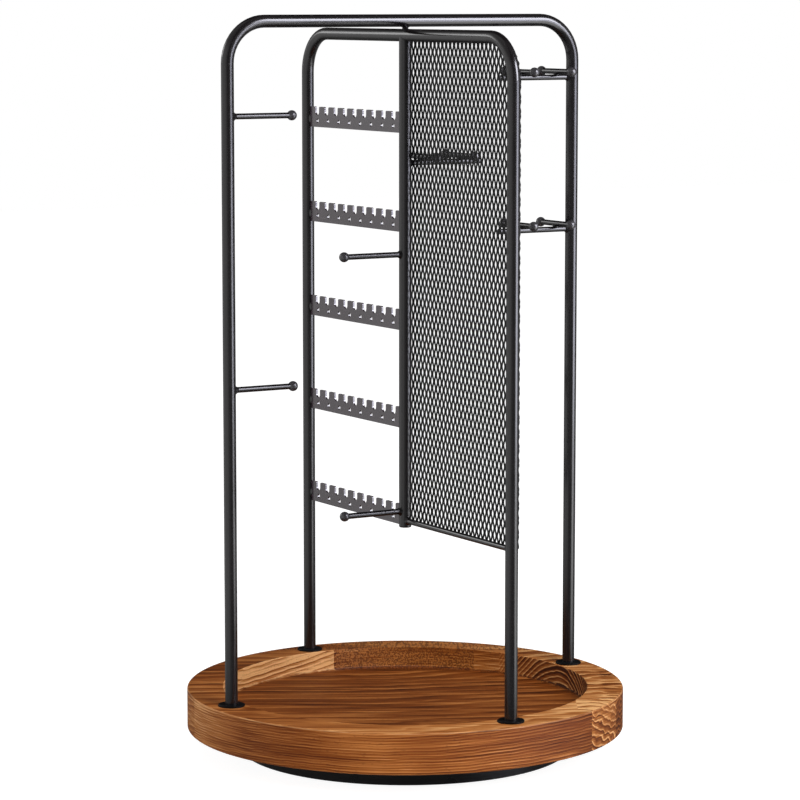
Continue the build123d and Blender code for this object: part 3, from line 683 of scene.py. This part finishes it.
def softbox(name, right, above, away, size, radiance, glossy=True, diffuse=True, tint="#FFFFFF"):
    """A rectangular lamp aimed at the middle of the stand, placed by its degrees right of the camera
    and above the horizon and its distance, with its width, its height and its face's brightness."""
    width, height = size
    turn, rise = math.radians(CAMERA_AZIMUTH + right), math.radians(above)
    aim = Vector((0, 0, 0.19))
    out = Vector((math.sin(turn) * math.cos(rise), -math.cos(turn) * math.cos(rise), math.sin(rise)))
    lamp = bpy.data.lights.new(name, "AREA")
    lamp.shape = "RECTANGLE"
    lamp.size, lamp.size_y = width, height
    lamp.energy = radiance * math.pi * width * height
    lamp.color = linear(tint)[:3]
    box = bpy.data.objects.new(name, lamp)
    bpy.context.scene.collection.objects.link(box)
    box.location = aim + out * away
    box.rotation_mode = "QUATERNION"
    box.rotation_quaternion = (-out).to_track_quat("-Z", "Y")
    box.visible_camera = False
    box.visible_glossy = glossy
    box.visible_diffuse = diffuse


def looked_at(tree):
    """1 where the camera looks at a surface, also in a reflection or through glass, and 0 where the
    surface lights the stand."""
    path = wire(tree, "ShaderNodeLightPath").node.outputs
    seen = wire(tree, "ShaderNodeMath", {0: path["Is Camera Ray"], 1: path["Is Glossy Ray"]},
                operation="ADD")
    return wire(tree, "ShaderNodeMath", {0: seen, 1: path["Is Transmission Ray"]}, operation="ADD",
                use_clamp=True)


def white_sweep():
    """The world: white where it is seen, and dimmer where it lights the stand."""
    world = bpy.data.worlds.new("white_sweep")
    bpy.context.scene.world = world
    world.use_nodes = True
    tree = world.node_tree
    tree.nodes.clear()
    level = wire(tree, "ShaderNodeMapRange", {0: looked_at(tree), 3: 0.30, 4: 1.0})
    sweep = wire(tree, "ShaderNodeBackground", {"Color": (1, 1, 1, 1), "Strength": level})
    wire(tree, "ShaderNodeOutputWorld", {"Surface": sweep})


def white_floor():
    """A matt white board under the stand, lifted to white where it is seen, so that only the soft
    shadow stays."""
    bpy.ops.object.select_all(action="DESELECT")
    bpy.ops.mesh.primitive_plane_add(size=8, location=(0, 0, -0.05 * MM))
    floor = start("floor")
    material, tree, place = new_material("matt_white_board")
    speckle = wire(tree, "ShaderNodeTexNoise", {"Vector": place, "Scale": 0.5})
    pale = wire(tree, "ShaderNodeValToRGB", {0: speckle}, stops=two_tones(0, "#E6E6E6", 1, "#EEEEEE"))
    plain = wire(tree, "ShaderNodeBsdfDiffuse", {"Color": pale})
    dim = wire(tree, "ShaderNodeBsdfDiffuse", {"Color": linear("#A0A0A0")})
    white = wire(tree, "ShaderNodeEmission", {"Strength": 0.94})
    lifted = wire(tree, "ShaderNodeAddShader", {0: dim, 1: white})
    board = wire(tree, "ShaderNodeMixShader", {0: looked_at(tree), 1: plain, 2: lifted})
    wire(tree, "ShaderNodeOutputMaterial", {"Surface": board})
    paint(floor, material)


def by_bearing(tree, bearing, *levels):
    """Brightness all round the stand, by degrees from the camera towards the right."""
    return wire(tree, "ShaderNodeValToRGB", {0: bearing},
                stops=greys(*((turn / 360 + 0.5, level) for turn, level in levels)))


def graded_cloth():
    """Cloth that glows by its place round the stand, as a studio's cards and dark corners would
    show in a gloss: white at the left, grey at the right, dark behind the stand and at the camera,
    and on the ground dark with a bright patch under the key light."""
    material, tree, place = new_material("graded_cloth")
    turned = wire(tree, "ShaderNodeMapping", {"Vector": place, "Rotation": (0, 0, PHOTO_TURN)})
    sideways, away, up = wire(tree, "ShaderNodeSeparateXYZ", {0: turned}).node.outputs
    forward = wire(tree, "ShaderNodeMath", {0: away, 1: -1.0}, operation="MULTIPLY")
    bearing = wire(tree, "ShaderNodeMath", {0: sideways, 1: forward}, operation="ARCTAN2")
    bearing = wire(tree, "ShaderNodeMapRange", {0: bearing, 1: -math.pi, 2: math.pi, 3: 0.0, 4: 1.0})
    wall = by_bearing(tree, bearing, (-180, 0.01), (-145, 0.08), (-125, 1.0), (-60, 1.0), (-28, 0.72),
                      (-2, 0.12), (22, 0.10), (45, 0.4), (100, 0.4), (150, 0.04))
    high = wire(tree, "ShaderNodeMapRange", {0: up, 1: 1300.0, 2: 2400.0, 3: 1.0, 4: 0.38})
    wall = wire(tree, "ShaderNodeMath", {0: wall, 1: high}, operation="MULTIPLY")
    ground = by_bearing(tree, bearing, (-180, 0.02), (-140, 0.04), (-118, 0.24), (-90, 0.28),
                        (-40, 0.28), (-10, 0.12), (15, 0.06), (48, 0.06), (56, 1.0), (84, 1.0),
                        (96, 0.08))
    beyond = wire(tree, "ShaderNodeMapRange", {0: from_axis(tree, place), 1: 180.0, 2: 450.0, 3: 0.0,
                                               4: 1.0})
    ground = wire(tree, "ShaderNodeMix", {0: beyond, 6: (0.03, 0.03, 0.03, 1), 7: ground}, 2,
                  data_type="RGBA")
    ground = wire(tree, "ShaderNodeMath", {0: ground, 1: 3.6}, operation="MULTIPLY")
    standing = wire(tree, "ShaderNodeMath", {0: up, 1: 200.0}, operation="GREATER_THAN")
    shade = wire(tree, "ShaderNodeMix", {0: standing, 2: ground, 3: wall}, 0, data_type="FLOAT")
    glow = wire(tree, "ShaderNodeEmission", {"Strength": shade})
    wire(tree, "ShaderNodeOutputMaterial", {"Surface": glow})
    return material


def graded_cards():
    """A round of graded cloth that only reflections see."""
    bpy.ops.object.select_all(action="DESELECT")
    bpy.ops.mesh.primitive_cylinder_add(vertices=72, radius=2.6, depth=3, end_fill_type="NGON",
                                        location=(0, 0, 1.5005))
    card = start("graded_cards")
    alone(card)
    place_in_mesh()
    paint(card, graded_cloth())
    card.visible_camera = card.visible_diffuse = card.visible_transmission = False
    card.visible_shadow = card.visible_volume_scatter = False


def studio():
    """A pale floor, a white sweep all round, graded cards that only reflections see, and soft lamps,
    of which some are for the gloss alone and some for the plain colours."""
    bpy.context.scene.view_settings.view_transform = "Standard"
    white_sweep()
    white_floor()
    graded_cards()
    softbox("key_softbox", 66, 25, 1.3, (0.60, 0.66), 20, diffuse=False, tint="#F2F2FF")
    softbox("low_softbox", 73, 0.0, 1.3, (0.80, 0.38), 6.5, diffuse=False, tint="#E6E8FF")
    softbox("key_fill", 36, 32, 1.3, (0.60, 1.00), 9.5, glossy=False)
    softbox("rim_softbox", -118, 19, 1.8, (0.6, 0.5), 3, diffuse=False)
    softbox("left_fill", -80, 15, 1.6, (1.2, 1.0), 1.3, glossy=False)
    softbox("top_fill", 20, 75, 1.6, (1.6, 1.6), 1.2, glossy=False)


def camera():
    """The photograph's viewpoint."""
    data = bpy.data.cameras.new("camera")
    data.lens = LENS
    eye = bpy.data.objects.new("camera", data)
    bpy.context.scene.collection.objects.link(eye)
    eye.location = CAMERA_PLACE
    eye.rotation_euler = (math.radians(90 + CAMERA_TILT), 0, math.radians(CAMERA_AZIMUTH))
    data.clip_start, data.clip_end = 0.05, 50
    bpy.context.scene.camera = eye


# Black coats on steel. The tubes' powder flows smooth, the thin rods' shines less, the balls' is
# greyish, which is a painted sheen, the flat strips' mirrors the pale room and is lighter and purplish,
# which is a painted reflection, and the collars' and the mesh's are dull and dark
tube_coat = powder_coat("satin_black_powder_coat", "#131012", "#0D0B0C", 0.17, 0.22, 0.5)
rod_coat = powder_coat("thin_black_powder_coat", "#121011", "#0B0A0B", 0.17, 0.22, 0.38)
# The balls' lighter grey colour is a painted sheen
ball_coat_painted_sheen = powder_coat("black_coat_painted_sheen", "#2A282B", "#232124", 0.30, 0.36, 0.75)
# The strips' lighter purplish colour is a painted reflection of the pale room
strip_coat_painted_reflection = powder_coat("glossy_black_coat_painted_reflection", "#33262F", "#2A1F27", 0.17, 0.22, 0.8)
collar_coat = powder_coat("matt_black_powder_coat", "#080708", "#050505", 0.42, 0.48, 0.12)
mesh_coat = powder_coat("dull_black_powder_coat", "#080707", "#040404", 0.42, 0.50, 0.16)

# Moulded parts: satin ABS for the disc, dull rubber for the feet, milky nylon for the balls' cage
disc = moulded("moulded_black_abs", "#110F0F", "#0B0A0A", 0.30, 3.0, 0.02 * MM)
rubber = moulded("moulded_black_rubber", "#262626", "#1A1A1A", 0.75, 2.0, 0.05 * MM)
nylon = moulded("moulded_natural_nylon", "#DCD8C9", "#CBC6B4", 0.45, 4.0, 0.01 * MM, 1.53)

# Metals: turned steel races, bright plated screws, mirror-bright balls and warm brass bushes
steel = turned_metal("turned_bearing_steel", "#C8C9CC", "#AEB0B4", 0.18, 0.34, 6.0)
zinc = turned_metal("bright_zinc_plate", "#D2D5DA", "#B9BDC4", 0.20, 0.38, 9.0)
polished = turned_metal("polished_ball_steel", "#D6D7DA", "#C6C8CC", 0.05, 0.09, 2.0)
brass = turned_metal("turned_brass", "#D8B26A", "#C09A52", 0.22, 0.36, 7.0)

finishes = {"black_coat": tube_coat, "tray_wood": stained_wood(), "disc_plastic": disc,
            "foot_rubber": rubber, "cage_nylon": nylon, "bearing_steel": steel, "zinc_screw": zinc,
            "ball_steel": polished, "brass_bush": brass}
for subpart in frame["record"]["subparts"]:
    node = nodes[subpart["node"]]
    first_word = subpart["node"].split("_")[0]
    if "_ball_" in subpart["node"]:
        paint(node, ball_coat_painted_sheen)
    elif first_word in ("bracelet", "hanger", "hook"):
        paint(node, rod_coat)
    elif first_word == "collar":
        paint(node, collar_coat)
        round_collar(node)
    else:
        paint(node, finishes[subpart["material_slot"]])

expanded_metal(mesh_coat)
for strip_number in range(1, 6):
    pressed_strip(strip_number, strip_coat_painted_reflection)

# The roots of the pegs and hanger rods, on the legs and on the post
for names, tube, side in (
    (("bracelet_peg_1", "bracelet_peg_3"), "peg_arch", -1),
    (("hanger_rod_1", "hanger_rod_3"), "peg_arch", 1),
    (("bracelet_peg_2", "bracelet_peg_4"), "centre_post", -1),
    (("hanger_rod_2",), "centre_post", 1),
):
    root, outwards = (LEG_FACE, -side) if tube == "peg_arch" else (TUBE_RADIUS, side)
    for name in names:
        weld_bead((side * root, 0, middle_height(name)), (outwards, 0, 0), tube, ROD_BEAD, rod_coat)

# The bead between the two top bars, in two halves that each flare along their bar
between_bars = middle_height("crossing_weld")
half_apart = 0.5 * MM
weld_bead((0, 0, between_bars + half_apart), (0, 0, -1), "peg_arch", CROSSING_BEAD, tube_coat,
          (1.2, 0.9), ("crossing_weld",))
weld_bead((0, 0, between_bars - half_apart), (0, 0, 1), "panel_arch", CROSSING_BEAD, tube_coat,
          (0.9, 1.2))

# The beads between each hook rod and the hanger rod that it lies on
for hook, hanger in ((1, 1), (2, 1), (3, 2), (4, 2), (5, 3), (6, 3)):
    hook_low, hook_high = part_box(f"hook_rod_{hook}")
    hanger_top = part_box(f"hanger_rod_{hanger}")[1].z
    contact = ((hook_low.x + hook_high.x) / 2, 0, (hook_low.z + hanger_top) / 2)
    weld_bead(contact, (0, 0, 1), None, HOOK_BEAD, rod_coat)

# A tack at each end of each strip, below its notches, and the ends of the mesh's rod
TACK_HEIGHT = 4.5 * MM
for strip_number in range(1, 6):
    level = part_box(f"earring_strip_{strip_number}")[0].z + TACK_HEIGHT
    weld_bead((0, LEG_FACE, level), (0, -1, 0), "panel_arch", STRIP_BEAD, tube_coat, (0.9, 2.0))
    weld_bead((0, TUBE_RADIUS, level), (0, 1, 0), "centre_post", STRIP_BEAD, tube_coat, (0.9, 2.0))
rod_low, rod_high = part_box("mesh_rod")
rod_x, rod_z = (rod_low.x + rod_high.x) / 2, middle_height("mesh_rod")
weld_bead((rod_x, -LEG_FACE, rod_z), (0, 1, 0), "panel_arch", ROD_BEAD, tube_coat)
weld_bead((rod_x, -TUBE_RADIUS, rod_z), (0, -1, 0), "centre_post", ROD_BEAD, tube_coat)

studio()
camera()
